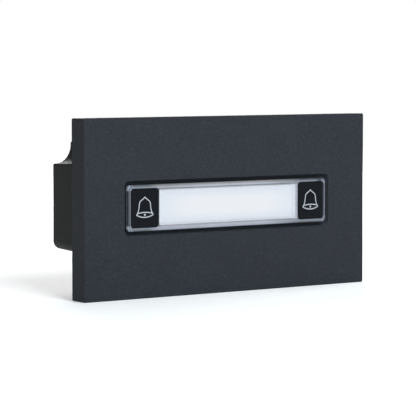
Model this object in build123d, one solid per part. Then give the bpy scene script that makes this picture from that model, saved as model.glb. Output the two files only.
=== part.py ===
from build123d import *
import os
from math import radians, tan

# Two-button call module of a door station, in millimetres.
# Origin: centre of the plane of the plate's rear rim. X runs to the right seen from the
# front, Y runs into the wall and Z runs up, so the front face looks along -Y.

# Front plate: a painted die casting, a shallow tray that is open to the rear
plate_width = 100.0
plate_height = 50.0
plate_depth = 6.0
plate_front_wall = 2.0
plate_rim_wall = 1.8
plate_draft = 0.9
plate_corner_radius = 0.5
plate_edge_radius = 0.15
inner_corner_radius = 1.5

# Slot in the front plate, with the window frame standing in it
slot_width = 72.9
slot_height = 15.1
slot_corner_radius = 1.3
slot_gap = 1.0
slot_edge_radius = 0.2

# Threaded bosses at the plate's corners, where the module is bolted to its frame
mount_inset_x = 5.8
mount_inset_z = 7.95
mount_boss_radius = 3.4
mount_thread_radius = 1.25
mount_thread_depth = 3.6
mount_lug_radius = 5.1
boss_rib_thickness = 1.0

# Clear window frame, pushed in from behind against a rubber gasket
window_corner_radius = 1.5
window_edge_radius = 0.4
window_flange_margin = 2.6
window_flange_thickness = 1.0
window_flange_radius = 2.0
window_skin = 1.0
gasket_thickness = 0.6
gasket_clearance = 0.12

# Keys: hollow caps with a wing above and below that holds them behind the window
key_width = 9.35
key_height = 10.7
key_corner_radius = 0.85
key_edge_radius = 0.25
key_side_margin = 1.08
key_proud = 0.13
key_gap = 0.12
key_face_thickness = 1.4
key_wall = 1.1
key_wing = 1.2
key_wing_thickness = 1.0
key_wing_inset = 0.4
key_rest_gap = 0.1
key_travel = 0.5
key_stop_gap = 0.1
key_hub_radius = 2.2
key_hub_proud = 0.3
key_rib_thickness = 0.8

# Name label with its light diffuser and reflector, in a pocket of the window frame
label_pocket_height = 10.1
label_pocket_end_wall = 0.45
label_pocket_radius = 0.4
label_thickness = 0.3
label_clearance = 0.05
diffuser_thickness = 1.5
reflector_taper = 2.4
reflector_wall = 0.9

# Key guide: a black plastic frame clamped between window flange and housing flange
guide_lip_thickness = 0.8
guide_lip_side_gap = 3.1
guide_lip_boss_gap = 1.45
guide_lip_radius = 2.0
guide_wall = 1.2
guide_clearance = 0.15
guide_floor_thickness = 1.0
guide_boot_clearance = 0.3
guide_reflector_clearance = 0.25

# Rubber boot over each switch
boot_pad_radius = 2.6
boot_pad_thickness = 1.2
boot_inner_radius = 4.4
boot_wall = 0.6
boot_web_rise = 0.5

# Tactile switch
switch_side = 6.0
switch_height = 4.3
switch_stem_length = 0.9
switch_stem_radius = 1.7
switch_stem_clearance = 0.1
switch_cover_thickness = 0.3
switch_collar_radius = 2.15
switch_collar_thickness = 0.4
switch_cavity_radius = 2.4
switch_floor_thickness = 0.9
switch_nub_radius = 0.8
switch_running_gap = 0.02
dome_rise = 0.7
dome_thickness = 0.1
dome_crown_radius = 1.0
leg_width = 0.7
leg_reach = 0.6
leg_thickness = 0.25
leg_spread = 2.0

# Circuit board and what stands on it
board_thickness = 1.6
board_gap = 0.8
board_corner_radius = 1.0
board_hole_radius = 1.15
board_hole_inset_x = 3.4
board_hole_inset_z = 3.2
led_count = 4
led_width = 3.5
led_height = 2.8
led_thickness = 1.2
chip_side = 7.0
chip_thickness = 1.4
driver_width = 3.9
driver_height = 4.9
driver_thickness = 1.5
driver_inset = 9.5
capacitor_radius = 2.0
capacitor_length = 5.4
capacitor_spread = 7.4
capacitor_inset = 3.35
capacitor_base = 0.8
resistor_count = 6
resistor_pitch = 2.4
resistor_length = 1.6
resistor_width = 0.8
resistor_thickness = 0.45
resistor_inset = 1.4

# Bus sockets on the rear of the board, one in and one out
socket_offset = 18.5
socket_width = 14.6
socket_height = 7.4
socket_wall = 1.0
socket_floor = 1.6
socket_setback = 0.3
socket_clearance = 0.3
socket_key_width = 3.0
pin_count = 4
pin_pitch = 2.54
pin_side = 0.64
pin_clearance = 0.02
pin_setback = 1.6

# Rear housing: a drafted shell, notched at its upper corners for the frame's lugs
housing_depth = 16.8
housing_side_inset = 5.0
housing_top_inset = 7.0
housing_top_draft = 1.4
housing_bottom_draft = 3.6
housing_wall = 1.8
housing_floor = 2.0
housing_corner_radius = 0.6
housing_low_radius = 2.4
housing_inner_radius = 0.6
housing_rear_edge = 0.4
flange_thickness = 1.6
flange_clearance = 0.2
flange_boss_clearance = 0.3
post_radius = 2.3
post_pilot_radius = 0.85
post_pilot_depth = 5.0

# Screws: countersunk through the housing flange, pan heads on the board
screw_offset_x = 33.0
screw_inset_z = 4.4
screw_boss_radius = 2.6
screw_head_radius = 2.05
screw_head_depth = 1.1
screw_shank_radius = 1.1
screw_length = 4.4
screw_hole_clearance = 0.15
screw_tip_gap = 0.3
drive_length = 2.4
drive_width = 0.5
drive_depth = 0.7
board_screw_head_radius = 1.9
board_screw_head_height = 1.3
board_screw_shank_radius = 0.8
board_screw_length = 4.0

# Length by which a cut runs past the face it opens
overrun = 1.0

# Depths along Y, from the front face to the rear
rim_y = 0.0
front_y = rim_y - plate_depth
inner_y = front_y + plate_front_wall
gasket_rear_y = inner_y + gasket_thickness
window_rear_y = gasket_rear_y + window_flange_thickness
lip_rear_y = window_rear_y + guide_lip_thickness
flange_rear_y = lip_rear_y + flange_thickness
label_front_y = front_y + window_skin
diffuser_front_y = label_front_y + label_thickness
diffuser_rear_y = diffuser_front_y + diffuser_thickness
key_front_y = front_y - key_proud
wing_front_y = window_rear_y + key_rest_gap
wing_rear_y = wing_front_y + key_wing_thickness
stop_y = wing_rear_y + key_travel + key_stop_gap
guide_rear_y = stop_y + guide_floor_thickness
hub_rear_y = wing_rear_y + key_hub_proud
stem_front_y = hub_rear_y + boot_pad_thickness
cover_front_y = stem_front_y + switch_stem_length
board_front_y = stem_front_y + switch_height
board_rear_y = board_front_y + board_thickness
housing_rear_y = rim_y + housing_depth
housing_floor_y = housing_rear_y - housing_floor
socket_rear_y = housing_rear_y - socket_setback

# Places across the front, as half widths and half heights
rim_inset = plate_depth * tan(radians(plate_draft))
tray_width = plate_width - 2 * (rim_inset + plate_rim_wall)
tray_height = plate_height - 2 * (rim_inset + plate_rim_wall)
window_width = slot_width - 2 * slot_gap
window_height = slot_height - 2 * slot_gap
flange_width = slot_width + 2 * window_flange_margin
flange_height = slot_height + 2 * window_flange_margin
key_offset = window_width / 2 - key_side_margin - key_width / 2
key_opening_width = key_width + 2 * key_gap
key_opening_height = key_height + 2 * key_gap
wing_width = key_width - 2 * key_wing_inset
wing_height = key_height + 2 * key_wing
pocket_width = 2 * (key_offset - key_opening_width / 2 - label_pocket_end_wall)
mount_x = plate_width / 2 - mount_inset_x
mount_z = plate_height / 2 - mount_inset_z
screw_z = plate_height / 2 - screw_inset_z
housing_side_x = plate_width / 2 - housing_side_inset
housing_neck_x = mount_x - mount_lug_radius
housing_step_z = mount_z - mount_lug_radius
housing_top_z = plate_height / 2 - housing_top_inset
board_width = 2 * (housing_side_x - housing_wall - board_gap)
board_height = 2 * (housing_step_z - housing_wall - board_gap)
guide_lip_width = tray_width - 2 * guide_lip_side_gap
guide_lip_height = 2 * (mount_z - mount_boss_radius - guide_lip_boss_gap)
channel_width = 2 * (key_offset + key_width / 2 + guide_clearance)
channel_height = wing_height + 2 * guide_clearance
board_hole_x = board_width / 2 - board_hole_inset_x
board_hole_z = board_height / 2 - board_hole_inset_z
boot_outer_radius = boot_inner_radius + boot_wall


def at_depth(y):
    return Plane.XZ.offset(-y)


def between(sketch, start_y, end_y):
    return extrude(at_depth(start_y) * sketch, amount=start_y - end_y)


def spots(points, shape):
    return Sketch() + [Pos(x, z) * shape for x, z in points]


def four(x, z):
    return [(-x, -z), (x, -z), (-x, z), (x, z)]


def rounded(width, height, radius):
    return RectangleRounded(width, height, min(radius, width / 2.1, height / 2.1))


def turned(*profile):
    # profile points are radius and depth along Y
    return revolve(make_face(Polyline(*profile, close=True)), Axis.Y)


def tapered(front_sketch, start_y, rear_sketch, end_y):
    return loft([at_depth(start_y) * front_sketch, at_depth(end_y) * rear_sketch])


mount_points = four(mount_x, mount_z)
screw_points = four(screw_offset_x, screw_z)
board_screw_points = four(board_hole_x, board_hole_z)


# Front plate

def front_plate():
    outer = tapered(
        rounded(plate_width, plate_height, plate_corner_radius), front_y,
        rounded(plate_width - 2 * rim_inset, plate_height - 2 * rim_inset, plate_corner_radius), rim_y,
    )
    outer = fillet(outer.faces().sort_by(Axis.Y)[0].edges(), plate_edge_radius)
    tray = rounded(tray_width, tray_height, inner_corner_radius)
    plate = outer - between(tray, inner_y, rim_y + overrun)
    plate += between(spots(mount_points, Circle(mount_boss_radius)), inner_y, rim_y)
    plate += boss_ribs()
    plate += between(spots(screw_points, Circle(screw_boss_radius)) & tray, inner_y, lip_rear_y)
    plate -= between(rounded(slot_width, slot_height, slot_corner_radius), front_y - overrun, inner_y + overrun)
    plate -= between(spots(mount_points, Circle(mount_thread_radius)), rim_y - mount_thread_depth, rim_y + overrun)
    screw_end_y = flange_rear_y - screw_length - screw_tip_gap
    plate -= between(spots(screw_points, Circle(screw_shank_radius)), screw_end_y, rim_y)
    slot_edges = plate.faces().sort_by(Axis.Y)[0].inner_wires().edges()
    return fillet(slot_edges, slot_edge_radius)


def boss_ribs():
    # webs that tie each corner boss to the side wall and to the top or bottom wall
    side_reach = tray_width / 2 - mount_x
    end_reach = tray_height / 2 - mount_z
    ribs = Sketch()
    for x, z in mount_points:
        side = 1 if x > 0 else -1
        end = 1 if z > 0 else -1
        ribs += Pos(x + side * side_reach / 2, z) * Rectangle(side_reach, boss_rib_thickness)
        ribs += Pos(x, z + end * end_reach / 2) * Rectangle(boss_rib_thickness, end_reach)
    return between(ribs, inner_y, lip_rear_y)


# Window, label and its light

def window_frame():
    body = between(rounded(window_width, window_height, window_corner_radius), front_y, window_rear_y)
    body = fillet(body.faces().sort_by(Axis.Y)[0].edges(), window_edge_radius)
    flange = rounded(flange_width, flange_height, window_flange_radius)
    body += between(flange, gasket_rear_y, window_rear_y)
    opening = rounded(key_opening_width, key_opening_height, key_corner_radius + key_gap)
    openings = spots([(-key_offset, 0), (key_offset, 0)], opening)
    body -= between(openings, front_y - overrun, window_rear_y + overrun)
    pocket = rounded(pocket_width, label_pocket_height, label_pocket_radius)
    return body - between(pocket, label_front_y, window_rear_y + overrun)


def window_gasket():
    hole_width = window_width + 2 * gasket_clearance
    hole_height = window_height + 2 * gasket_clearance
    ring = rounded(flange_width, flange_height, window_flange_radius)
    ring -= rounded(hole_width, hole_height, window_corner_radius + gasket_clearance)
    return between(ring, inner_y, gasket_rear_y)


def pocket_insert(inset=0.0):
    width = pocket_width - 2 * (label_clearance + inset)
    height = label_pocket_height - 2 * (label_clearance + inset)
    return rounded(width, height, label_pocket_radius)


def name_label():
    return between(pocket_insert(), label_front_y, diffuser_front_y)


def label_diffuser():
    return between(pocket_insert(), diffuser_front_y, diffuser_rear_y)


def light_reflector():
    outer = tapered(pocket_insert(), diffuser_rear_y, pocket_insert(reflector_taper), board_front_y)
    mouth = pocket_insert(reflector_wall)
    foot = pocket_insert(reflector_taper + reflector_wall)
    return outer - tapered(mouth, diffuser_rear_y, foot, board_front_y)


# Keys and what guides, seals and switches them

def key(x):
    face = rounded(key_width, key_height, key_corner_radius)
    cap = between(face, key_front_y, wing_rear_y)
    cap = fillet(cap.faces().sort_by(Axis.Y)[0].edges(), key_edge_radius)
    wings = rounded(wing_width, wing_height, key_corner_radius)
    cap += between(wings, wing_front_y, wing_rear_y)
    hollow_width = key_width - 2 * key_wall
    hollow_height = key_height - 2 * key_wall
    hollow = rounded(hollow_width, hollow_height, key_corner_radius / 2)
    hollow_front_y = key_front_y + key_face_thickness
    cap -= between(hollow, hollow_front_y, wing_rear_y + overrun)
    cross = Rectangle(hollow_width, key_rib_thickness) + Rectangle(key_rib_thickness, hollow_height)
    cap += between(cross, hollow_front_y, wing_rear_y)
    cap += between(Circle(key_hub_radius), hollow_front_y, hub_rear_y)
    return Pos(x, 0, 0) * cap


def key_guide():
    lip = rounded(guide_lip_width, guide_lip_height, guide_lip_radius)
    body = rounded(channel_width + 2 * guide_wall, channel_height + 2 * guide_wall, guide_lip_radius)
    guide = between(lip, window_rear_y, lip_rear_y) + between(body, window_rear_y, guide_rear_y)
    channel = rounded(channel_width, channel_height, key_corner_radius)
    guide -= between(channel, window_rear_y - overrun, stop_y)
    boot_hole = Circle(boot_outer_radius + guide_boot_clearance)
    floor_holes = spots([(-key_offset, 0), (key_offset, 0)], boot_hole)
    floor_holes += pocket_insert(reflector_inset_at(stop_y) - guide_reflector_clearance)
    return guide - between(floor_holes, stop_y - overrun, guide_rear_y + overrun)


def reflector_inset_at(y):
    return reflector_taper * (y - diffuser_rear_y) / (board_front_y - diffuser_rear_y)


def key_boot(x):
    shoulder_y = cover_front_y - boot_wall - boot_web_rise / 2
    boot = turned(
        (0, hub_rear_y),
        (boot_pad_radius, hub_rear_y),
        (boot_pad_radius, hub_rear_y + boot_web_rise),
        (boot_outer_radius, shoulder_y),
        (boot_outer_radius, board_front_y),
        (boot_inner_radius, board_front_y),
        (boot_inner_radius, shoulder_y + boot_wall),
        (boot_pad_radius, stem_front_y),
        (0, stem_front_y),
    )
    return Pos(x, 0, 0) * boot


def switch_base(x):
    base = between(Rectangle(switch_side, switch_side), cover_front_y + switch_cover_thickness, board_front_y)
    cavity_end_y = board_front_y - switch_floor_thickness
    base -= between(Circle(switch_cavity_radius), cover_front_y, cavity_end_y)
    return Pos(x, 0, 0) * base


def switch_cover(x):
    plate = Rectangle(switch_side, switch_side) - Circle(switch_stem_radius + switch_stem_clearance)
    return Pos(x, 0, 0) * between(plate, cover_front_y, cover_front_y + switch_cover_thickness)


def switch_plunger(x):
    collar_front_y = cover_front_y + switch_cover_thickness + switch_running_gap
    collar_rear_y = collar_front_y + switch_collar_thickness
    plunger = turned(
        (0, stem_front_y),
        (switch_stem_radius, stem_front_y),
        (switch_stem_radius, collar_front_y),
        (switch_collar_radius, collar_front_y),
        (switch_collar_radius, collar_rear_y),
        (switch_nub_radius, collar_rear_y),
        (switch_nub_radius, dome_crown_y()),
        (0, dome_crown_y()),
    )
    return Pos(x, 0, 0) * plunger


def dome_crown_y():
    return board_front_y - switch_floor_thickness - dome_rise


def switch_dome(x):
    # a sprung disc: flat crown, conical flank and a foot on the switch's floor
    foot_radius = switch_cavity_radius - switch_stem_clearance
    foot_y = board_front_y - switch_floor_thickness
    crown_y = dome_crown_y()
    dome = turned(
        (0, crown_y),
        (dome_crown_radius, crown_y),
        (foot_radius, foot_y - dome_thickness),
        (foot_radius, foot_y),
        (foot_radius - dome_thickness, foot_y),
        (dome_crown_radius, crown_y + dome_thickness),
        (0, crown_y + dome_thickness),
    )
    return Pos(x, 0, 0) * dome


def switch_legs():
    # two legs on each side of each switch, bent flat on the board
    reach_x = switch_side / 2 + leg_reach / 2
    leg = Rectangle(leg_reach, leg_width)
    places = []
    for centre in (-key_offset, key_offset):
        places += [(centre + x, z) for x, z in four(reach_x, leg_spread)]
    return between(spots(places, leg), board_front_y - leg_thickness, board_front_y)


# Circuit board

def circuit_board():
    board = rounded(board_width, board_height, board_corner_radius)
    board -= spots(board_screw_points, Circle(board_hole_radius))
    return between(board, board_front_y, board_rear_y)


def label_leds():
    pitch = (pocket_width - 2 * reflector_taper) / led_count
    first = -pitch * (led_count - 1) / 2
    places = [(first + pitch * i, 0) for i in range(led_count)]
    return between(spots(places, Rectangle(led_width, led_height)), board_front_y - led_thickness, board_front_y)


def microcontroller():
    return between(Rectangle(chip_side, chip_side), board_rear_y, board_rear_y + chip_thickness)


def bus_driver():
    place = Pos(board_width / 2 - driver_inset, 0) * Rectangle(driver_width, driver_height)
    return between(place, board_rear_y, board_rear_y + driver_thickness)


def capacitors():
    height = board_height / 2 - capacitor_inset
    places = [(-capacitor_spread, height), (capacitor_spread, height)]
    foot = Rectangle(2 * capacitor_radius, 2 * capacitor_radius)
    base_end_y = board_rear_y + capacitor_base
    cans = between(spots(places, foot), board_rear_y, base_end_y)
    return cans + between(spots(places, Circle(capacitor_radius)), base_end_y, board_rear_y + capacitor_length)


def resistors():
    first = -resistor_pitch * (resistor_count - 1) / 2
    height = resistor_inset - board_height / 2
    places = [(first + resistor_pitch * i, height) for i in range(resistor_count)]
    chip = Rectangle(resistor_width, resistor_length)
    return between(spots(places, chip), board_rear_y, board_rear_y + resistor_thickness)


def pin_row(x, side):
    first = -pin_pitch * (pin_count - 1) / 2
    return spots([(x + first + pin_pitch * i, 0) for i in range(pin_count)], Rectangle(side, side))


def bus_socket(x):
    outline = Pos(x, 0) * rounded(socket_width, socket_height, socket_wall / 2)
    mouth = Pos(x, 0) * Rectangle(socket_width - 2 * socket_wall, socket_height - 2 * socket_wall)
    key_way = Pos(x, socket_height / 2) * Rectangle(socket_key_width, 4 * socket_wall)
    floor_y = board_rear_y + socket_floor
    socket = between(outline, board_rear_y, socket_rear_y)
    socket -= between(mouth + key_way, floor_y, socket_rear_y + overrun)
    return socket - between(pin_row(x, pin_side + 2 * pin_clearance), board_rear_y - overrun, floor_y + overrun)


def bus_pins():
    end_y = socket_rear_y - pin_setback
    rows = pin_row(-socket_offset, pin_side) + pin_row(socket_offset, pin_side)
    return between(rows, board_rear_y, end_y)


# Rear housing

def housing_outline(y, inset=0.0):
    # drafted faces: the step and the top fall, and the bottom rises, towards the rear
    to_rear = housing_rear_y - y
    top_rise = to_rear * tan(radians(housing_top_draft))
    low_drop = to_rear * tan(radians(housing_bottom_draft))
    step_z = housing_step_z + top_rise - inset
    top_z = housing_top_z + top_rise - inset
    low_z = inset - housing_step_z - low_drop
    side_x = housing_side_x - inset
    neck_x = housing_neck_x - inset
    upper_radius = housing_inner_radius if inset else housing_corner_radius
    corners = [
        (side_x, low_z, housing_inner_radius if inset else housing_low_radius),
        (side_x, step_z, upper_radius),
        (neck_x, step_z, mount_lug_radius),
        (neck_x, top_z, upper_radius),
    ]
    right = [(x, z) for x, z, radius in corners]
    left = [(-x, z) for x, z in reversed(right)]
    outline = make_face(Polyline(*right, *left, close=True))
    for x, z, radius in corners:
        ends = [v for v in outline.vertices() if abs(abs(v.X) - x) + abs(v.Y - z) < 0.001]
        outline = fillet(ends, radius)
    return outline


def corner_notches():
    # each flange corner is cut away round the plate's threaded boss
    radius = mount_boss_radius + flange_boss_clearance
    width = plate_width / 2 - mount_x + 2 * radius
    height = plate_height / 2 - mount_z + 2 * radius
    centre_x = mount_x - radius + width / 2
    centre_z = mount_z - radius + height / 2
    return spots(four(centre_x, centre_z), rounded(width, height, radius))


def rear_housing():
    shell = tapered(housing_outline(lip_rear_y), lip_rear_y, housing_outline(housing_rear_y), housing_rear_y)
    shell = fillet(shell.faces().sort_by(Axis.Y)[-1].edges(), housing_rear_edge)
    flange_outline = rounded(
        tray_width - 2 * flange_clearance, tray_height - 2 * flange_clearance, inner_corner_radius
    )
    shell += between(flange_outline - corner_notches(), lip_rear_y, flange_rear_y)
    shell -= tapered(
        housing_outline(lip_rear_y - overrun, housing_wall), lip_rear_y - overrun,
        housing_outline(housing_floor_y, housing_wall), housing_floor_y,
    )
    posts = spots(board_screw_points, Circle(post_radius))
    shell += between(posts, board_rear_y, housing_floor_y + overrun)
    pilots = spots(board_screw_points, Circle(post_pilot_radius))
    shell -= between(pilots, board_rear_y - overrun, board_rear_y + post_pilot_depth)
    hole = rounded(
        socket_width + 2 * socket_clearance, socket_height + 2 * socket_clearance,
        socket_wall / 2 + socket_clearance,
    )
    sockets = spots([(-socket_offset, 0), (socket_offset, 0)], hole)
    shell -= between(sockets, housing_floor_y - overrun, housing_rear_y + overrun)
    for x, z in screw_points:
        shell -= Pos(x, 0, z) * countersink(screw_hole_clearance)
    return shell


# Screws

def countersink(clearance):
    head = screw_head_radius + clearance
    shank = screw_shank_radius + clearance
    neck_y = flange_rear_y - screw_head_depth
    return turned(
        (0, flange_rear_y + clearance),
        (head, flange_rear_y + clearance),
        (head, flange_rear_y),
        (shank, neck_y),
        (shank, lip_rear_y - clearance),
        (0, lip_rear_y - clearance),
    )


def cross_drive(head_y, direction):
    # direction is the way the recess goes in, along Y
    cross = Rectangle(drive_length, drive_width) + Rectangle(drive_width, drive_length)
    return between(cross, head_y - direction * overrun, head_y + direction * drive_depth)


def housing_screw(x, z):
    neck_y = flange_rear_y - screw_head_depth
    end_y = flange_rear_y - screw_length
    screw = turned(
        (0, flange_rear_y),
        (screw_head_radius, flange_rear_y),
        (screw_shank_radius, neck_y),
        (screw_shank_radius, end_y),
        (0, end_y),
    )
    return Pos(x, 0, z) * (screw - cross_drive(flange_rear_y, -1))


def board_screw(x, z):
    head_y = board_front_y - board_screw_head_height
    end_y = board_front_y + board_screw_length
    screw = turned(
        (0, head_y),
        (board_screw_head_radius, head_y),
        (board_screw_head_radius, board_front_y),
        (board_screw_shank_radius, board_front_y),
        (board_screw_shank_radius, end_y),
        (0, end_y),
    )
    return Pos(x, 0, z) * (screw - cross_drive(head_y, 1))


def group(solids):
    return Compound(children=list(solids))


nodes = {
    "front_plate": front_plate(),
    "window_gasket": window_gasket(),
    "window_frame": window_frame(),
    "name_label": name_label(),
    "label_diffuser": label_diffuser(),
    "light_reflector": light_reflector(),
    "key_guide": key_guide(),
    "switch_legs": switch_legs(),
    "circuit_board": circuit_board(),
    "label_leds": label_leds(),
    "microcontroller": microcontroller(),
    "bus_driver": bus_driver(),
    "capacitors": capacitors(),
    "resistors": resistors(),
    "bus_in_socket": bus_socket(-socket_offset),
    "bus_out_socket": bus_socket(socket_offset),
    "bus_pins": bus_pins(),
    "rear_housing": rear_housing(),
    "housing_screws": group(housing_screw(x, z) for x, z in screw_points),
    "board_screws": group(board_screw(x, z) for x, z in board_screw_points),
}
for side, x in (("left", -key_offset), ("right", key_offset)):
    nodes[side + "_key"] = key(x)
    nodes[side + "_key_boot"] = key_boot(x)
    nodes[side + "_switch_base"] = switch_base(x)
    nodes[side + "_switch_cover"] = switch_cover(x)
    nodes[side + "_switch_dome"] = switch_dome(x)
    nodes[side + "_switch_plunger"] = switch_plunger(x)

os.makedirs("parts", exist_ok=True)
for name, shape in nodes.items():
    export_step(shape, "parts/" + name + ".step")
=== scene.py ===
import bpy
import math
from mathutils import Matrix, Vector


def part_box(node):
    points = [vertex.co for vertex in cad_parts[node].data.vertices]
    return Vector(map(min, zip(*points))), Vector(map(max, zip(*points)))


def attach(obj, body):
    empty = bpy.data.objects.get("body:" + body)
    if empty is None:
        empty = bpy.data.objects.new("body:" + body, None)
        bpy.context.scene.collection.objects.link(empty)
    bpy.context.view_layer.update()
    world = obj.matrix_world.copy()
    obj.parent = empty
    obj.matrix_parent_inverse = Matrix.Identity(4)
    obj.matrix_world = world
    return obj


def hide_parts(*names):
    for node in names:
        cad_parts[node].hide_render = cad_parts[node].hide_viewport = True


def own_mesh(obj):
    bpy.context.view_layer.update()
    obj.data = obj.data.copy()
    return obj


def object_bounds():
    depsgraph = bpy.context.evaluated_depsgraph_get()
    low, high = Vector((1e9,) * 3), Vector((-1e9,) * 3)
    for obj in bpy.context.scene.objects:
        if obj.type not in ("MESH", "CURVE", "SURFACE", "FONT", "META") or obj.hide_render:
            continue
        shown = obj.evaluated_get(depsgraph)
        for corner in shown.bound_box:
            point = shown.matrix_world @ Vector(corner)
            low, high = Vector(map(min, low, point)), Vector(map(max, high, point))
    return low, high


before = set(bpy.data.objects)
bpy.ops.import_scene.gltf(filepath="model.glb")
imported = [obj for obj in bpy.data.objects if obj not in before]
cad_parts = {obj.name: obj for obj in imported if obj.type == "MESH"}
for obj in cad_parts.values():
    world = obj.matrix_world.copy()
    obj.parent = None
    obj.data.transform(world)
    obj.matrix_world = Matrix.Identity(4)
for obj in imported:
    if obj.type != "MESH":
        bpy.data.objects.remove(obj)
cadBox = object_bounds()
print("frame loaded:", len(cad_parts), "nodes")

# Lengths below are millimetres in the CAD's frame: X right, Y into the wall, Z up
mm = 0.001

# Edges over the first angle stay crisp in the shading, and those over the second get a bevel
crispAngle = math.radians(40)
bevelAngle = math.radians(35)
bevelSteps = 2


def inMetres(*point):
    return Vector(point) * mm


def deselectAll():
    if bpy.context.mode != "OBJECT":
        bpy.ops.object.mode_set(mode="OBJECT")
    bpy.ops.object.select_all(action="DESELECT")


def onlySelect(piece):
    deselectAll()
    piece.select_set(True)
    bpy.context.view_layer.objects.active = piece


def settle(piece):
    # place, turn and scale go into the mesh, so that the object sits at the origin
    onlySelect(piece)
    bpy.ops.object.transform_apply(location=True, rotation=True, scale=True)


def aim(piece, target):
    # a light or a camera looks along its own -Z
    towards = target - piece.location
    piece.rotation_euler = towards.to_track_quat("-Z", "Y").to_euler()


# Shader maths: sums on a Wire add Math nodes to its finish
class Wire:
    def __init__(self, finish, socket):
        self.finish = finish
        self.socket = socket

    def math(self, operation, *others):
        return self.finish.math(operation, self, *others)

    def __add__(self, other):
        return self.math("ADD", other)

    def __sub__(self, other):
        return self.math("SUBTRACT", other)

    def __rsub__(self, other):
        return self.finish.math("SUBTRACT", other, self)

    def __mul__(self, other):
        return self.math("MULTIPLY", other)

    def __truediv__(self, other):
        return self.math("DIVIDE", other)

    def __rtruediv__(self, other):
        return self.finish.math("DIVIDE", other, self)

    def __abs__(self):
        return self.math("ABSOLUTE")

    def atLeast(self, other):
        return self.math("MAXIMUM", other)

    def below(self, limit, soft):
        # 1 where this is under the limit, falling to 0 over the soft width
        settings = {"interpolation_type": "SMOOTHSTEP", "clamp": True}
        sockets = {
            "Value": self, "From Min": limit - soft / 2, "From Max": limit + soft / 2,
            "To Min": 1.0, "To Max": 0.0,
        }
        return self.finish.node("ShaderNodeMapRange", settings, sockets)

    def above(self, limit, soft):
        return 1 - self.below(limit, soft)

    def spread(self, low, high):
        # a 0 to 1 value stretched to run from low to high
        return self * (high - low) + low

    __radd__ = __add__
    __rmul__ = __mul__


surfaceSockets = {
    "colour": "Base Color",
    "roughness": "Roughness",
    "metallic": "Metallic",
    "level": "Specular IOR Level",
    "ior": "IOR",
    "clear": "Transmission Weight",
    "glowColour": "Emission Color",
    "glow": "Emission Strength",
    "normal": "Normal",
}

# A Mix node that is set to colours has sockets of the same name, so these are told by number
mixShare, mixFirst, mixSecond, mixResult = 0, 6, 7, 2


class Finish:
    def __init__(self, name):
        self.material = bpy.data.materials.new(name)
        self.material.use_nodes = True
        self.tree = self.material.node_tree
        self.tree.nodes.clear()
        self.place = self.node("ShaderNodeTexCoord", out="Object")
        axes = self.add("ShaderNodeSeparateXYZ", {}, {0: self.place})
        self.x, self.y, self.z = [Wire(self, axis) / mm for axis in axes.outputs]

    def add(self, kind, settings, sockets):
        made = self.tree.nodes.new(kind)
        for key, value in settings.items():
            setattr(made, key, value)
        for key, value in sockets.items():
            self.put(made.inputs[key], value)
        return made

    def put(self, socket, value):
        if isinstance(value, Wire):
            self.tree.links.new(value.socket, socket)
        elif socket.type == "RGBA":
            socket.default_value = (*value, 1.0)
        else:
            socket.default_value = value

    def node(self, kind, settings={}, sockets={}, out=0):
        return Wire(self, self.add(kind, settings, sockets).outputs[out])

    def math(self, operation, *values):
        return self.node("ShaderNodeMath", {"operation": operation}, dict(enumerate(values)))

    def mix(self, share, first, second):
        # first where the share is 0 and second where it is 1
        sockets = {mixShare: share, mixFirst: first, mixSecond: second}
        return self.node("ShaderNodeMix", {"data_type": "RGBA"}, sockets, out=mixResult)

    def noise(self, grain, detail=2.0, roughness=0.5, stretch=(1.0, 1.0, 1.0)):
        # grain is the size of the pattern's features, in millimetres
        scale = [axis / (grain * mm) for axis in stretch]
        sockets = {"Vector": self.place, "Scale": scale}
        place = self.node("ShaderNodeMapping", {"vector_type": "POINT"}, sockets)
        sockets = {"Vector": place, "Scale": 1.0, "Detail": detail, "Roughness": roughness}
        return self.node("ShaderNodeTexNoise", {}, sockets)

    def bump(self, height, depth):
        sockets = {"Height": height, "Distance": depth * mm, "Strength": 1.0}
        return self.node("ShaderNodeBump", {}, sockets)

    def surface(self, **values):
        sockets = {surfaceSockets[key]: value for key, value in values.items()}
        return self.node("ShaderNodeBsdfPrincipled", {}, sockets)

    def finished(self, shader):
        self.add("ShaderNodeOutputMaterial", {}, {"Surface": shader})
        return self.material


def dress(material, *names):
    for name in names:
        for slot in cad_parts[name].material_slots:
            slot.material = material


# In the dictionaries of the finishes, a pair that below or above reads is a place and how soft
# the change is there, and a share is how much of the other tone shows

# Painted casting: a fine-grained anthracite powder coat, with painted light on the slot's walls,
# where the clear frame's light falls
powderCoat = {
    "colour": (0.0148, 0.0174, 0.0230),
    "specks": {"grain": 0.42, "detail": 3.0, "roughness": 0.6},
    "darkSpeck": (0.0080, 0.0096, 0.0132),
    "darkLimit": (0.42, 0.16),
    "darkShare": 0.6,
    "lightSpeck": (0.0250, 0.0285, 0.0365),
    "lightLimit": (0.60, 0.14),
    "lightShare": 0.7,
    "clouds": {"grain": 9.0},
    "cloudLimit": (0.5, 0.5),
    "cloudShare": 0.18,
    # painted light on the slot's walls
    "slotWallPaintedLight": (0.052, 0.060, 0.072),
    "slotHalfWidth": (36.62, 0.1),
    "slotHalfHeight": (7.72, 0.1),
    "slotStart": (-5.75, 0.3),
    "peel": {"grain": 0.55},
    "peelDepth": 0.012,
    "specksInPeel": 0.4,
    "roughness": (0.52, 0.64),
    "level": 0.18,
}


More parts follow.
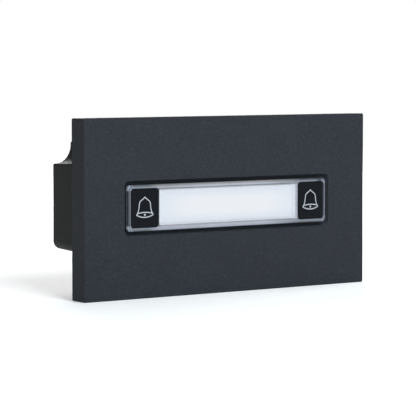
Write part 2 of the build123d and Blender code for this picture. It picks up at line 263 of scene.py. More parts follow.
def makePowderCoat(p):
    f = Finish("powder_coat")
    specks = f.noise(**p["specks"])
    clouds = f.noise(**p["clouds"])
    peel = f.noise(**p["peel"])
    colour = f.mix(specks.below(*p["darkLimit"]) * p["darkShare"], p["colour"], p["darkSpeck"])
    colour = f.mix(specks.above(*p["lightLimit"]) * p["lightShare"], colour, p["lightSpeck"])
    colour = f.mix(clouds.above(*p["cloudLimit"]) * p["cloudShare"], colour, p["darkSpeck"])
    # painted light: the slot's walls are lighter where the clear frame's light falls
    inSlot = abs(f.x).below(*p["slotHalfWidth"]) * abs(f.z).below(*p["slotHalfHeight"])
    colour = f.mix(inSlot * f.y.above(*p["slotStart"]), colour, p["slotWallPaintedLight"])
    return f.finished(f.surface(
        colour=colour,
        roughness=specks.spread(*p["roughness"]),
        level=p["level"],
        normal=f.bump(peel + specks * p["specksInPeel"], p["peelDepth"]),
    ))


# Moulded black plastics and rubbers: fine sparks and broad patches, each finish with its own grain
moulding = {
    "sparks": {"detail": 3.0, "roughness": 0.55},
    "sparkLimit": (0.5, 0.3),
    "sparkShare": 0.5,
    "patchSize": 30,  # times the grain
    "patchLimit": (0.5, 0.4),
    "patchShare": 0.3,
}
mouldedFinishes = {
    "key_satin": {
        "colour": (0.0028, 0.0036, 0.0058), "shade": (0.0042, 0.0052, 0.0078),
        "grain": 0.16, "depth": 0.005, "roughness": (0.40, 0.48), "level": 0.08,
    },
    "housing_grain": {
        "colour": (0.0105, 0.0125, 0.0120), "shade": (0.0190, 0.0210, 0.0200),
        "grain": 0.42, "depth": 0.014, "roughness": (0.50, 0.62), "level": 0.16,
    },
    "black_moulding": {
        "colour": (0.014, 0.014, 0.015), "shade": (0.020, 0.020, 0.021),
        "grain": 0.22, "depth": 0.006, "roughness": (0.38, 0.52), "level": 0.40,
    },
    "black_rubber": {
        "colour": (0.010, 0.010, 0.011), "shade": (0.016, 0.016, 0.017),
        "grain": 0.12, "depth": 0.004, "roughness": (0.72, 0.85), "level": 0.30,
    },
    # its tone, lighter and bluer than the black rubber, is partly painted light from the clear frame
    # in the gap round it
    "gasket_rubber": {
        "colour": (0.017, 0.023, 0.030), "shade": (0.022, 0.028, 0.036),
        "grain": 0.12, "depth": 0.004, "roughness": (0.66, 0.80), "level": 0.25,
    },
    "chip_compound": {
        "colour": (0.018, 0.018, 0.019), "shade": (0.026, 0.026, 0.027),
        "grain": 0.10, "depth": 0.005, "roughness": (0.50, 0.62), "level": 0.40,
    },
}


def makeMoulded(name, p):
    f = Finish(name)
    m = moulding
    sparks = f.noise(p["grain"], **m["sparks"])
    patches = f.noise(p["grain"] * m["patchSize"])
    sparkShare = sparks.above(*m["sparkLimit"]) * m["sparkShare"]
    patchShare = patches.above(*m["patchLimit"]) * m["patchShare"]
    return f.finished(f.surface(
        colour=f.mix(sparkShare + patchShare, p["colour"], p["shade"]),
        roughness=patches.spread(*p["roughness"]),
        level=p["level"],
        normal=f.bump(sparks, p["depth"]),
    ))


# Metals: fine marks and a broader bloom on the stainless sheet, the tinned pins and the zinc plate
metalwork = {
    "marks": {"detail": 4.0, "roughness": 0.6},
    "markDepth": 0.004,
    "bloomSize": 8,  # times the grain
    "bloomLimit": (0.5, 0.4),
    "bloomShare": 0.6,
}
metalFinishes = {
    "stainless_sheet": {
        "colour": (0.60, 0.60, 0.58), "shade": (0.50, 0.50, 0.49),
        "grain": 0.3, "stretch": (6.0, 1.0, 1.0), "roughness": (0.22, 0.38),
    },
    "tinned_pins": {
        "colour": (0.74, 0.73, 0.70), "shade": (0.62, 0.61, 0.59),
        "grain": 0.3, "stretch": (1.0, 1.0, 1.0), "roughness": (0.24, 0.36),
    },
    "zinc_plate": {
        "colour": (0.56, 0.57, 0.60), "shade": (0.45, 0.46, 0.50),
        "grain": 0.25, "stretch": (1.0, 1.0, 1.0), "roughness": (0.26, 0.40),
    },
    "zinc_heads": {
        "colour": (0.50, 0.51, 0.54), "shade": (0.40, 0.41, 0.45),
        "grain": 0.25, "stretch": (1.0, 1.0, 1.0), "roughness": (0.30, 0.44),
        # painted shade in the crosses of the screw heads
        "paintedCrossShade": {"node": "housing_screws", "colour": (0.09, 0.09, 0.10), "start": 0.08, "soft": 0.05},
    },
}


def makeMetal(name, p):
    f = Finish(name)
    m = metalwork
    marks = f.noise(p["grain"], stretch=p["stretch"], **m["marks"])
    bloom = f.noise(p["grain"] * m["bloomSize"])
    tone = f.mix(bloom.above(*m["bloomLimit"]) * m["bloomShare"], p["colour"], p["shade"])
    if "paintedCrossShade" in p:
        # painted shade: dark in the screws' crosses, a little way in from the ends of their heads
        paintedCrossShade = p["paintedCrossShade"]
        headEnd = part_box(paintedCrossShade["node"])[1].y / mm
        tone = f.mix(f.y.below(headEnd - paintedCrossShade["start"], paintedCrossShade["soft"]), tone, paintedCrossShade["colour"])
    return f.finished(f.surface(
        colour=tone,
        metallic=1.0,
        roughness=marks.spread(*p["roughness"]),
        normal=f.bump(marks, m["markDepth"]),
    ))


# Clear window frame: see-through in front of the label, and hazy round it, where its tones are painted
# light and shade: lighter where the label's light leaks in, darker over the keys, edges and openings
clearWindow = {
    # the see-through pane
    "tint": (0.93, 0.95, 0.98),
    "tintDeep": (0.90, 0.93, 0.97),
    "tintShare": 0.3,
    "glass": {"roughness": 0.03, "ior": 1.5, "clear": 1.0},
    "flow": {"grain": 3.0, "detail": 1.0, "stretch": (0.3, 1.0, 1.0)},
    "flowLimit": (0.5, 0.5),
    "flowShare": 0.12,
    "ripple": {"grain": 1.6, "detail": 1.0},
    "rippleDepth": 0.003,
    "bodyRoughness": (0.2, 0.28),
    "bodyLevel": 0.3,
    "halves": (0, 1.0),  # where left and right, and low and high, run into each other
    # above, below and beside the label: painted light from the label, with painted shade towards the
    # ends and on the thin lines beside it
    "byLabel": (0.338, 0.343, 0.385),
    "byLabelTop": (0.195, 0.185, 0.185),
    "byLabelLow": (0.262, 0.275, 0.335),
    "overLabel": (5.05, 0.12),
    "outwards": (5.93, 0.56),
    "byLabelEnds": (0.100, 0.100, 0.120),
    "byLabelLeft": (-16.0, 12.0),
    "byLabelRight": (14.0, 10.0),
    "endsShare": (0.22, 0.12),
    "endsUpDown": (0.5, 1.0),  # how much of that below and above the middle
    "lineTop": (0.150, 0.160, 0.180),
    "lineLow": (0.290, 0.300, 0.335),
    "lineEnd": (5.32, 0.14),
    "labelStart": (-24.85, 0.3),
    "labelFadeStart": (22.7, 0.6),
    "labelFade": (0.485, 0.485, 0.540),
    "labelFadeEdge": (0.420, 0.430, 0.485),
    "labelFadeRise": (3.5, 3.0),
    "labelEnd": (0.285, 0.295, 0.335),
    "labelEndStart": (24.0, 0.9),
    "labelEndLeft": (20, 1),
    "labelEndHeight": (4.95, 0.3),
    # round the keys: painted shade, darker towards the top right and the ends, and on the openings'
    # walls
    "byKeys": (0.165, 0.178, 0.208),
    "byKeysOuter": (0.080, 0.086, 0.100),
    "keysLeft": (-26.6, 5.6),
    "keysRight": (20.5, 14.0),
    "topRight": (0.042, 0.046, 0.056),
    "topRightStart": (25.0, 5.0),
    "towardsEnds": (0.100, 0.108, 0.130),
    "towardsEndsStart": (33.8, 1.6),
    # a darker patch on the rim's top right
    "darkPatchTone": (0.030, 0.036, 0.050),
    "darkPatchStart": (32.1, 2.6),
    "darkPatchEnd": (33.75, 0.4),
    "keyWallInner": 24.90,
    "keyWallHalfWidth": (0.07, 0.04),
    "keyWallHalfHeight": (5.4, 0.2),
    # round the openings' corners and ends: painted light at the corners and painted shade in the
    # openings
    "corner": (0.150, 0.158, 0.200),
    "cornerLow": (0.155, 0.172, 0.205),
    "cornerRight": (0.140, 0.152, 0.195),
    "cornerLowRight": (0.155, 0.165, 0.205),
    "shadeStart": (6.25, 0.4),
    "shadeStartRight": (5.92, 0.3),
    "atEnds": (0.110, 0.121, 0.152),
    "cornerStart": (4.85, 0.5),
    "opening": (0.040, 0.044, 0.052),
    "openingOff": 0.12,
    "openingCorner": (33.5, 4.2),
    "openingRound": (1.22, 0.3),
    "endsStart": (0.8, 0.3),
    "cornerInner": (33.6, 0.4),
    # the rounded outer edge and the side faces: painted shade on the edge and deep in the sides, and
    # painted light on the side faces towards the corners
    "edge": (0.030, 0.033, 0.039),
    "lowEdge": (0.008, 0.010, 0.014),
    "faceLeft": (-34.97, 0.12),
    "faceRight": (35.24, 0.12),
    "faceTop": (6.40, 0.14),
    "faceLow": (-6.27, 0.12),
    "paneCorner": (33.95, 5.05),
    "paneRound": (1.38, 0.1),
    "wallInner": (34.6, 0.4),
    "sideStart": (35.3, 0.1),
    "sideLine": (0.145, 0.156, 0.195),
    "sideCorner": (0.30, 0.32, 0.39),
    "sideCornerLow": (0.42, 0.44, 0.52),
    "sideDeep": (0.030, 0.035, 0.043),
    "sideLineStart": (-5.55, 0.3),
    "sideLineEnd": (-5.0, 0.3),
    "frontOnly": (-5.5, 0.2),
    "hazeShare": 0.85,
    "edgeShare": 0.94,
}


def makeClearWindow(p):
    f = Finish("clear_window")
    acrossX, acrossZ = abs(f.x), abs(f.z)
    upperHalf = f.z.above(*p["halves"])
    rightHalf = f.x.above(*p["halves"])
    straight = acrossZ.below(*p["cornerStart"])
    flow = f.noise(**p["flow"])

    def pastCorner(off, cornerX, cornerZ):
        # how far a point lies from the middle of the nearest corner's round
        across = (abs(f.x - off) - cornerX).atLeast(0.0)
        up = (acrossZ - cornerZ).atLeast(0.0)
        return (across * across + up * up).math("SQRT")

    # painted light and shade round the clear pane: above, below and to its two sides
    beside = f.x.above(*p["labelFadeStart"]).atLeast(f.x.below(*p["labelStart"]))
    overUnder = acrossZ.above(*p["overLabel"])
    outwards = acrossZ.above(*p["outwards"])
    hazeAndPaintedLight = f.mix(outwards, p["byLabel"], f.mix(upperHalf, p["byLabelLow"], p["byLabelTop"]))
    lineTone = f.mix(upperHalf, p["lineLow"], p["lineTop"])
    hazeAndPaintedLight = f.mix(acrossZ.below(*p["lineEnd"]), hazeAndPaintedLight, lineTone)
    leftShare, rightShare = p["endsShare"]
    toEnds = f.x.below(*p["byLabelLeft"]) * leftShare + f.x.above(*p["byLabelRight"]) * rightShare
    hazeAndPaintedLight = f.mix(toEnds * upperHalf.spread(*p["endsUpDown"]), hazeAndPaintedLight, p["byLabelEnds"])
    labelFade = f.mix(acrossZ.above(*p["labelFadeRise"]), p["labelFade"], p["labelFadeEdge"])
    labelEnd = f.mix(f.x.above(*p["labelEndStart"]), labelFade, p["labelEnd"])
    besideRight = f.x.above(*p["labelEndLeft"]) * acrossZ.below(*p["labelEndHeight"])
    hazeAndPaintedLight = f.mix(besideRight, hazeAndPaintedLight, labelEnd)

    # painted shade round the keys, darker towards the ends and the openings' walls, and painted light
    # at the left corners
    topRight = f.x.above(*p["topRightStart"]) * upperHalf
    byKeys = f.mix(outwards, p["byKeys"], f.mix(topRight, p["byKeysOuter"], p["topRight"]))
    byKeys = f.mix(acrossX.above(*p["towardsEndsStart"]), byKeys, p["towardsEnds"])
    # a darker patch on the rim's top right
    darkPatch = f.x.above(*p["darkPatchStart"]) * f.x.below(*p["darkPatchEnd"]) * upperHalf
    byKeys = f.mix(darkPatch, byKeys, p["darkPatchTone"])
    nearKeys = f.x.below(*p["keysLeft"]).atLeast(f.x.above(*p["keysRight"]))
    hazeAndPaintedLight = f.mix(nearKeys * overUnder, hazeAndPaintedLight, byKeys)

    # painted light round the openings' outer corners, where the frame is lightest, and painted shade
    # in the openings
    roundKey = pastCorner(p["openingOff"], *p["openingCorner"])
    cornerLow = f.mix(rightHalf, p["cornerLow"], p["cornerLowRight"])
    corner = f.mix(upperHalf, cornerLow, f.mix(rightHalf, p["corner"], p["cornerRight"]))
    corner = f.mix(f.z.above(*p["shadeStart"]), corner, p["byKeysOuter"])
    corner = f.mix(f.z.above(*p["shadeStartRight"]) * rightHalf, corner, p["opening"])
    atEnds = f.mix(straight, corner, p["atEnds"])
    atEnds = f.mix(roundKey.below(*p["openingRound"]), atEnds, p["opening"])
    outsideKeys = roundKey.above(*p["endsStart"]) * acrossX.above(*p["cornerInner"])
    hazeAndPaintedLight = f.mix(outsideKeys, hazeAndPaintedLight, atEnds)
    flowing = flow.above(*p["flowLimit"])
    hazeAndPaintedLight = f.mix(flowing * p["flowShare"], hazeAndPaintedLight, p["byKeysOuter"])
    keyWall = abs(acrossX - p["keyWallInner"]).below(*p["keyWallHalfWidth"])
    keyWall = keyWall * acrossZ.below(*p["keyWallHalfHeight"])
    hazeAndPaintedLight = f.mix(keyWall, hazeAndPaintedLight, p["opening"])

    # painted shade on the rounded outer edge, and painted light and shade on the side faces
    pastSide = f.x.below(*p["faceLeft"]).atLeast(f.x.above(*p["faceRight"])) * straight
    low = f.z.below(*p["faceLow"])
    outer = f.z.above(*p["faceTop"]).atLeast(low).atLeast(pastSide)
    roundWall = pastCorner(0.0, *p["paneCorner"]).above(*p["paneRound"])
    roundWall = roundWall * acrossX.above(*p["wallInner"])
    side = acrossX.above(*p["sideStart"]).atLeast(roundWall)
    sideCorner = f.mix(upperHalf, p["sideCornerLow"], p["sideCorner"])
    sideLine = f.mix(f.y.above(*p["sideLineStart"]), p["edge"], p["sideLine"])
    sideFace = f.mix(straight, sideCorner, sideLine)
    sideFace = f.mix(f.y.above(*p["sideLineEnd"]), sideFace, p["sideDeep"])
    hazeAndPaintedLight = f.mix(outer, hazeAndPaintedLight, f.mix(low, p["edge"], p["lowEdge"]))
    hazeAndPaintedLight = f.mix(side * (1 - low), hazeAndPaintedLight, sideFace)

    ripple = f.bump(f.noise(**p["ripple"]), p["rippleDepth"])
    tint = f.mix(flowing * p["tintShare"], p["tint"], p["tintDeep"])
    glass = f.surface(colour=tint, normal=ripple, **p["glass"])
    body = f.surface(
        colour=hazeAndPaintedLight, roughness=flow.spread(*p["bodyRoughness"]), level=p["bodyLevel"], normal=ripple,
    )
    rim = beside.atLeast(overUnder).atLeast(keyWall)
    solid = outer.atLeast(side)
    front = f.y.below(*p["frontOnly"])
    share = rim * front * p["hazeShare"] * (1 - solid) + solid * p["edgeShare"]
    return f.finished(f.node("ShaderNodeMixShader", {}, {0: share, 1: glass, 2: body}))


# Name label: white film lit from behind, with painted shade a little darker towards its ends and its
# long edges, and a painted glow for its light
label = {
    "colour": (0.6195, 0.6250, 0.6320),
    "endColour": (0.574, 0.596, 0.618),
    "endStart": (19.5, 14.0),
    "fadeColour": (0.557, 0.579, 0.608),
    "fadeStart": (3.2, 3.8),
    "lines": {"grain": 0.28, "detail": 1.0, "stretch": (1.0, 0.02, 0.02)},
    "lineLimit": (0.5, 0.4),
    "lineShare": 0.25,
    "fibres": {"grain": 0.12},
    "fibreLimit": (0.55, 0.3),
    "fibreShare": 0.05,
    "fibreDepth": 0.003,
    # painted shade along the long edges, darker along the lower edge and towards the right of the
    # upper one
    "edgeColour": (0.375, 0.380, 0.392),
    "edgeStart": (4.92, 0.5),
    "edgeLower": 0.13,
    "lowStart": (-4.35, 0.3),  # a band along the lower edge
    "lowShare": 0.24,
    "upShade": (0.20, 0.20, 0.215),  # the upper edge towards the right
    "upStart": (4.85, 0.5),
    "upRight": (14.0, 10.0),
    "upShare": 0.5,
    # painted light: the film glows with its own colour
    "glow": 0.66,
    "roughness": (0.5, 0.65),
}


def makeLabelFilm(p):
    f = Finish("label_film")
    toEnd = abs(f.x).above(*p["endStart"])
    lines = f.noise(**p["lines"])
    fibres = f.noise(**p["fibres"])
    # painted shade towards the ends and along the long edges
    colour = f.mix(toEnd, p["colour"], p["endColour"])
    colour = f.mix(abs(f.z).above(*p["fadeStart"]), colour, p["fadeColour"])
    colour = f.mix(toEnd * lines.above(*p["lineLimit"]) * p["lineShare"], colour, p["fadeColour"])
    colour = f.mix(fibres.above(*p["fibreLimit"]) * p["fibreShare"], colour, p["endColour"])
    colour = f.mix(f.z.below(*p["lowStart"]) * p["lowShare"], colour, p["edgeColour"])
    colour = f.mix(abs(f.z + p["edgeLower"]).above(*p["edgeStart"]), colour, p["edgeColour"])
    upRight = f.z.above(*p["upStart"]) * f.x.above(*p["upRight"])
    colour = f.mix(upRight * p["upShare"], colour, p["upShade"])
    return f.finished(f.surface(
        colour=colour,
        roughness=fibres.spread(*p["roughness"]),
        # painted light: the film glows with its own colour
        glowColour=colour,
        glow=p["glow"],
        normal=f.bump(fibres, p["fibreDepth"]),
    ))


# White plastics that the lights shine into: the opal diffuser and the reflector, each with a painted
# glow for that light
litPlastic = {
    "milk": {"grain": 2.5},
    "milkLimit": (0.5, 0.5),
    "milkShare": 0.4,
    "fine": {"grain": 0.2},
    "fineDepth": 0.004,
    "roughness": (0.35, 0.5),
}
litFinishes = {
    "opal_diffuser": {"colour": (0.80, 0.82, 0.86), "shade": (0.72, 0.75, 0.80), "glow": 0.5},
    "white_reflector": {"colour": (0.82, 0.82, 0.82), "shade": (0.74, 0.74, 0.75), "glow": 0.12},
}


def makeLitPlastic(name, p):
    f = Finish(name)
    m = litPlastic
    milk = f.noise(**m["milk"])
    fine = f.noise(**m["fine"])
    tone = f.mix(milk.above(*m["milkLimit"]) * m["milkShare"], p["colour"], p["shade"])
    return f.finished(f.surface(
        colour=tone,
        roughness=fine.spread(*m["roughness"]),
        # painted light: the plastic glows with its own tone
        glowColour=tone,
        glow=p["glow"],
        normal=f.bump(fine, m["fineDepth"]),
    ))


# Circuit board: green resist with raised tracks in it, and bare laminate on its edges
board = {
    "resist": (0.010, 0.085, 0.035),
    "overTrack": (0.018, 0.130, 0.055),
    "trackPitch": 1.6,
    "crossPitch": 4.8,
    "track": (0.16, 0.06),
    "crossTrack": (0.05, 0.02),
    "trackDepth": 0.02,
    "wander": {"grain": 7.0, "detail": 0.0},
    "wanderShare": 1.5,
    "crossWanderShare": 2.0,
    "laminate": (0.30, 0.26, 0.14),
    "front": 4.5,
    "rear": 6.1,
    "edgeSoft": 0.04,
    "fibre": {"grain": 0.25},
    "fibreLimit": (0.5, 0.3),
    "fibreShare": 0.15,
    "fibreHeight": 0.1,
    "roughness": (0.25, 0.38),
}


def makeBoard(p):
    f = Finish("board_laminate")
    wander = f.noise(**p["wander"])
    fibre = f.noise(**p["fibre"])
    across = f.math("FRACT", f.z / p["trackPitch"] + wander * p["wanderShare"])
    along = f.math("FRACT", f.x / p["crossPitch"] + wander * p["crossWanderShare"])
    tracks = abs(across - 0.5).below(*p["track"]).atLeast(abs(along - 0.5).below(*p["crossTrack"]))
    colour = f.mix(tracks, p["resist"], p["overTrack"])
    middle = (p["front"] + p["rear"]) / 2
    halfThick = (p["rear"] - p["front"]) / 2
    side = abs(f.y - middle).below(halfThick - p["edgeSoft"], p["edgeSoft"])
    colour = f.mix(side, colour, p["laminate"])
    return f.finished(f.surface(
        colour=f.mix(fibre.above(*p["fibreLimit"]) * p["fibreShare"], colour, p["laminate"]),
        roughness=fibre.spread(*p["roughness"]),
        normal=f.bump(tracks + fibre * p["fibreHeight"], p["trackDepth"]),
    ))


# Capacitors: a brushed bare can on a black foot
capacitor = {
    "can": (0.72, 0.72, 0.73),
    "canShade": (0.5, 0.5, 0.52),
    "foot": (0.015, 0.015, 0.015),
    "footEnd": (6.95, 0.04),
    "brushed": {"grain": 0.4, "detail": 3.0, "stretch": (1.0, 8.0, 1.0)},
    "brushedLimit": (0.5, 0.4),
    "brushedShare": 0.2,
    "brushedDepth": 0.004,
    "roughness": (0.26, 0.40),
}


def makeCapacitors(p):
    f = Finish("capacitor_can")
    foot = f.y.below(*p["footEnd"])
    brushed = f.noise(**p["brushed"])
    colour = f.mix(foot, p["can"], p["foot"])
    return f.finished(f.surface(
        colour=f.mix(brushed.above(*p["brushedLimit"]) * p["brushedShare"], colour, p["canShade"]),
        metallic=1 - foot,
        roughness=brushed.spread(*p["roughness"]),
        normal=f.bump(brushed, p["brushedDepth"]),
    ))


# Chip resistors: black bodies that lie along Z, with tinned ends
resistor = {
    "body": (0.02, 0.02, 0.022),
    "tin": (0.72, 0.71, 0.69),
    "endStart": (0.5, 0.04),
    "fine": {"grain": 0.15},
    "fineDepth": 0.004,
    "roughness": (0.28, 0.42),
}


def makeResistors(p):
    f = Finish("chip_resistor")
    low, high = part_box("resistors")
    ends = abs(f.z - (low.z + high.z) / 2 / mm).above(*p["endStart"])
    fine = f.noise(**p["fine"])
    return f.finished(f.surface(
        colour=f.mix(ends, p["body"], p["tin"]),
        metallic=ends,
        roughness=fine.spread(*p["roughness"]),
        normal=f.bump(fine, p["fineDepth"]),
    ))


# Lights behind the label: white packages round a yellow lens, repeated along X
led = {
    "package": (0.82, 0.82, 0.80),
    "lens": (0.80, 0.62, 0.12),
    "pitch": 11.025,
    "lensHalfWidth": (1.2, 0.1),
    "lensHalfHeight": (0.95, 0.1),
    "fine": {"grain": 0.2},
    "fineDepth": 0.003,
    "roughness": (0.22, 0.34),
}


def makeLeds(p):
    f = Finish("led_package")
    fromMiddle = abs(f.math("FRACT", f.x / p["pitch"]) - 0.5) * p["pitch"]
    lens = fromMiddle.below(*p["lensHalfWidth"]) * abs(f.z).below(*p["lensHalfHeight"])
    fine = f.noise(**p["fine"])
    return f.finished(f.surface(
        colour=f.mix(lens, p["package"], p["lens"]),
        roughness=fine.spread(*p["roughness"]),
        normal=f.bump(fine, p["fineDepth"]),
    ))


moulded = {name: makeMoulded(name, values) for name, values in mouldedFinishes.items()}
metal = {name: makeMetal(name, values) for name, values in metalFinishes.items()}
lit = {name: makeLitPlastic(name, values) for name, values in litFinishes.items()}

dress(makePowderCoat(powderCoat), "front_plate")
dress(makeClearWindow(clearWindow), "window_frame")
dress(makeLabelFilm(label), "name_label")
dress(lit["opal_diffuser"], "label_diffuser")
dress(lit["white_reflector"], "light_reflector")
dress(moulded["key_satin"], "left_key", "right_key")
dress(moulded["gasket_rubber"], "window_gasket")
dress(moulded["housing_grain"], "rear_housing")
dress(moulded["black_moulding"], "key_guide", "bus_in_socket", "bus_out_socket")
dress(moulded["black_moulding"], "left_switch_base", "right_switch_base")
dress(moulded["black_moulding"], "left_switch_plunger", "right_switch_plunger")
dress(moulded["chip_compound"], "microcontroller", "bus_driver")
dress(metal["stainless_sheet"], "left_switch_cover", "right_switch_cover")
dress(metal["tinned_pins"], "switch_legs", "bus_pins")
dress(metal["zinc_plate"], "board_screws")
dress(metal["zinc_heads"], "housing_screws")
dress(makeBoard(board), "circuit_board")
dress(makeLeds(led), "label_leds")
dress(makeCapacitors(capacitor), "capacitors")
dress(makeResistors(resistor), "resistors")
print("finishes on the CAD nodes")

# Bell sign on each key, a thin light-grey print: outline, two arcs of the rim and the clapper
bellSign = {
    "flank": [(0.50, 2.62), (1.02, 2.27), (1.47, 1.98), (1.79, 1.49), (1.90, 0.88), (1.98, 0.28),
              (2.08, -0.30), (2.26, -0.89), (2.52, -1.40)],
    "top": (0.0, 3.06),
    "tip": (2.84, -1.85),
    "rimFront": {"halfWidth": 2.84, "endZ": -1.85, "middleZ": -2.54},
    "rimBack": {"halfWidth": 2.53, "endZ": -1.44, "middleZ": -1.17},
    "arcSteps": 8,
    "clapperZ": -1.84,
    "clapperRadius": 0.33,
    "clapperSides": 16,
    "clapperRings": 8,
    "offCentre": -0.15,
    "stroke": 0.315,
    "strokeRound": 3,
    "strokeSteps": 8,
    "thickness": 0.012,
    "mergeWithin": 0.001,
    "proud": 0.004,
    "print": {
        "colour": (0.36, 0.37, 0.405), "shade": (0.30, 0.31, 0.345),
        "grain": 0.10, "depth": 0.002, "roughness": (0.42, 0.52), "level": 0.2,
    },
}
bellPrint = makeMoulded("bell_print", bellSign["print"])


def arcPoints(halfWidth, endZ, middleZ, steps):
    # points on the circle through both ends and the middle
    rise = endZ - middleZ
    radius = (halfWidth ** 2 + rise ** 2) / (2 * abs(rise))
    points = []
    for step in range(steps + 1):
        x = halfWidth * (2 * step / steps - 1)
        sag = radius - math.sqrt(radius ** 2 - x ** 2)
        points.append((x, middleZ + math.copysign(sag, rise)))
    return points


def strokeCurve(name, points, p):
    bpy.ops.curve.primitive_bezier_curve_add()
    line = bpy.context.object
    line.name = name
    spline = line.data.splines[0]
    spline.bezier_points.add(len(points) - len(spline.bezier_points))
    for knot, (x, z) in zip(spline.bezier_points, points):
        knot.co = inMetres(x, 0, z)
        knot.handle_left_type = knot.handle_right_type = "AUTO"
    line.data.bevel_depth = p["stroke"] / 2 * mm
    line.data.bevel_resolution = p["strokeRound"]
    line.data.use_fill_caps = True
    line.data.resolution_u = p["strokeSteps"]
    return line


def closeStroke(line, p):
    onlySelect(line)
    bpy.ops.object.convert(target="MESH")
    bpy.ops.object.mode_set(mode="EDIT")
    bpy.ops.mesh.select_all(action="SELECT")
    bpy.ops.mesh.remove_doubles(threshold=p["mergeWithin"] * mm)  # closes the end caps
    bpy.ops.mesh.normals_make_consistent(inside=False)
    bpy.ops.object.mode_set(mode="OBJECT")


def makeBell(side, body):
    p = bellSign
    low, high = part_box(side + "_key")
    centreX = (low.x + high.x) / 2 / mm + p["offCentre"]
    frontY = low.y / mm
    deselectAll()
    right = p["flank"] + [p["tip"]]
    left = [(-x, z) for x, z in reversed(right)]
    outline = strokeCurve("outline", left + [p["top"]] + right, p)
    apex = outline.data.splines[0].bezier_points[len(left)]
    apex.handle_left_type = apex.handle_right_type = "VECTOR"
    rims = []
    for name in ("rimFront", "rimBack"):
        rims.append(strokeCurve(name, arcPoints(**p[name], steps=p["arcSteps"]), p))
    bpy.ops.mesh.primitive_uv_sphere_add(
        segments=p["clapperSides"], ring_count=p["clapperRings"], radius=p["clapperRadius"] * mm,
    )
    clapper = bpy.context.object
    clapper.location = inMetres(0, 0, p["clapperZ"])
    clapper.scale = (1, p["stroke"] / 2 / p["clapperRadius"], 1)
    for line in (outline, *rims):
        closeStroke(line, p)
    settle(clapper)
    deselectAll()
    for part in (outline, clapper, *rims):
        part.select_set(True)
    bpy.context.view_layer.objects.active = outline
    bpy.ops.object.join()
    bell = bpy.context.object
    bell.name = bell.data.name = side + "_bell_sign"
    # pressed flat, with its front just proud of the key's
    bell.scale = (1, p["thickness"] / p["stroke"], 1)
    bell.location = inMetres(centreX, frontY + p["thickness"] / 2 - p["proud"], 0)
    settle(bell)
    bpy.ops.object.shade_smooth_by_angle(angle=crispAngle)
    bell.data.materials.clear()
    bell.data.materials.append(bellPrint)
    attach(bell, body)


for side in ("left", "right"):
    makeBell(side, side + "_button")
print("bell signs made")

# Rubber boot over each switch and the snap disc inside it: both give way when the key is pressed,
# and they hang on the module's body. A section is radius and depth in turn
boot = {
    "node": "_key_boot",
    "slot": "black_rubber",
    "pad": (2.6, -1.0),
    "section": [(2.6, -0.5), (4.75, 0.12), (5.0, 0.40), (5.0, 4.5), (4.4, 4.5), (4.4, 0.78),
                (4.2, 0.58), (2.6, 0.2)],
    "foot": 4.5,
    "softEdge": 0.12,
    "sides": 64,
}
snapDisc = {
    "node": "_switch_dome",
    "slot": "switch_steel",
    "pad": (1.0, 2.9),
    "section": [(1.36, 2.95), (1.72, 3.11), (2.02, 3.32), (2.3, 3.52), (2.3, 3.6), (2.2, 3.6),
                (1.94, 3.40), (1.66, 3.20), (1.32, 3.05), (1.0, 3.0)],
    "foot": 3.6,
    "softEdge": 0.02,
    "sides": 48,
}


def makeTurned(p, name, side, finish):
    # the pad's disc is drawn out ring by ring along the section, and its last ring closes the inside
    low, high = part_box(side + p["node"])
    centre = Vector(((low.x + high.x) / 2, 0, (low.z + high.z) / 2))
    radius, depth = p["pad"]
    deselectAll()
    bpy.ops.mesh.primitive_circle_add(
        vertices=p["sides"], radius=radius * mm, fill_type="NGON",
        location=centre + inMetres(0, depth, 0), rotation=(math.pi / 2, 0, 0),
    )
    piece = bpy.context.object
    piece.name = piece.data.name = side + name
    settle(piece)
    bpy.ops.object.mode_set(mode="EDIT")
    bpy.ops.mesh.select_all(action="SELECT")
    for nextRadius, nextDepth in p["section"]:
        growth = nextRadius / radius
        step = inMetres(0, nextDepth - depth, 0)
        ringCentre = centre + inMetres(0, nextDepth, 0)
        bpy.ops.mesh.extrude_region_move(TRANSFORM_OT_translate={"value": step})
        bpy.ops.transform.resize(value=(growth, 1, growth), center_override=ringCentre)
        radius, depth = nextRadius, nextDepth
    bpy.ops.mesh.select_all(action="SELECT")
    bpy.ops.mesh.normals_make_consistent(inside=False)
    bpy.ops.object.mode_set(mode="OBJECT")
    bevel = piece.modifiers.new("soft_edges", "BEVEL")
    bevel.width = p["softEdge"] * mm
    bevel.segments = bevelSteps
    bevel.limit_method = "ANGLE"
    bevel.angle_limit = bevelAngle
    bpy.ops.object.modifier_apply(modifier=bevel.name)
    bpy.ops.object.shade_smooth_by_angle(angle=crispAngle)
    piece.data.materials.append(finish)
    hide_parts(side + p["node"])
    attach(piece, "module")
    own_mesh(piece)


for side in ("left", "right"):
    makeTurned(boot, "_rubber_boot", side, moulded["black_rubber"])
    makeTurned(snapDisc, "_snap_disc", side, metal["stainless_sheet"])
print("boots and snap discs made")

# Stage: pale floor that brightens outwards, even white surroundings, one broad soft light in front
# and weaker ones behind and beside
stage = {
    "floorSide": 1600,
    "floorSquares": 8,
    "floorColour": (0.90, 0.90, 0.90),
    "floorShade": (0.87, 0.87, 0.88),
    "floorRoughness": (0.75, 0.85),
    "paper": {"grain": 14.0, "detail": 3.0},
    "paperLimit": (0.5, 0.5),
    "paperShare": 0.5,
    "glow": 1.0,
    "glowNear": (0.20, 0.20, 0.20),
    "glowFar": (0.80, 0.80, 0.80),
    "glowRise": (260, 300),
    "backdrop": 1.0,
    "surround": 0.230,
    "softboxes": {
        "front_softbox": {
            "place": (-135, -710, 420), "size": 420, "power": 8.0, "colour": (0.88, 0.97, 1.0),
        },
        "rear_softbox": {
            "place": (380, 640, 460), "size": 420, "power": 3.6, "colour": (1.0, 1.0, 1.0),
        },
        "side_softbox": {
            "place": (720, 90, 330), "size": 420, "power": 2.4, "colour": (1.0, 1.0, 1.0),
        },
    },
}


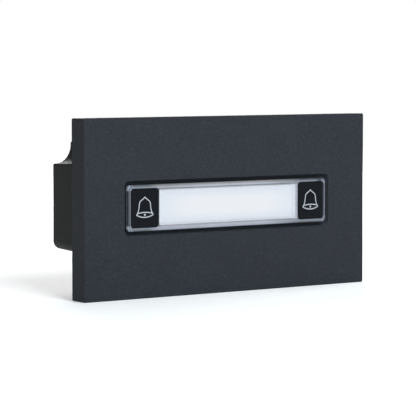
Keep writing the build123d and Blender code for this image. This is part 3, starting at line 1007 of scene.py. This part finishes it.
def makeFloor(p):
    bpy.ops.mesh.primitive_grid_add(
        x_subdivisions=p["floorSquares"], y_subdivisions=p["floorSquares"], size=p["floorSide"] * mm,
    )
    floor = bpy.context.object
    floor.name = "floor"
    floor.location = (0, 0, cadBox[0].z)
    settle(floor)
    f = Finish("pale_floor")
    paper = f.noise(**p["paper"])
    distance = (f.x * f.x + f.y * f.y).math("SQRT")
    tone = f.mix(paper.above(*p["paperLimit"]) * p["paperShare"], p["floorColour"], p["floorShade"])
    floor.data.materials.append(f.finished(f.surface(
        colour=tone,
        roughness=paper.spread(*p["floorRoughness"]),
        glowColour=f.mix(distance.above(*p["glowRise"]), p["glowNear"], p["glowFar"]),
        glow=p["glow"],
    )))


def makeLight(name, p):
    bpy.ops.object.light_add(type="AREA", location=inMetres(*p["place"]))
    light = bpy.context.object
    light.name = name
    light.data.shape = "SQUARE"
    light.data.size = p["size"] * mm
    light.data.energy = p["power"]
    light.data.color = p["colour"]
    aim(light, inMetres(0, 0, 0))


def makeSurround(p):
    # the backdrop is seen brighter than the light that it gives
    world = bpy.data.worlds.new("surround")
    bpy.context.scene.world = world
    world.use_nodes = True
    nodes, links = world.node_tree.nodes, world.node_tree.links
    seen = nodes.new("ShaderNodeLightPath")
    strength = nodes.new("ShaderNodeMapRange")
    strength.inputs["To Min"].default_value = p["surround"]
    strength.inputs["To Max"].default_value = p["backdrop"]
    links.new(seen.outputs["Is Camera Ray"], strength.inputs["Value"])
    links.new(strength.outputs[0], nodes["Background"].inputs["Strength"])
    nodes["Background"].inputs["Color"].default_value = (1, 1, 1, 1)


makeFloor(stage)
for name, softbox in stage["softboxes"].items():
    makeLight(name, softbox)
makeSurround(stage)
bpy.context.scene.view_settings.view_transform = "Standard"
print("stage and lights set")

# Camera fitted to the photograph's straight edges
cameraSetup = {
    "place": (-402.3, -519.8, 40.5),
    "target": (-7.9, -6.05, -0.81),
    "lens": 199.9,
    "sensor": 36.0,
    "clipStart": 10,
}


def makeCamera(p):
    bpy.ops.object.camera_add(location=inMetres(*p["place"]))
    camera = bpy.context.object
    camera.data.lens = p["lens"]
    camera.data.sensor_width = p["sensor"]
    camera.data.clip_start = p["clipStart"] * mm
    aim(camera, inMetres(*p["target"]))
    bpy.context.scene.camera = camera


makeCamera(cameraSetup)
print("camera set")
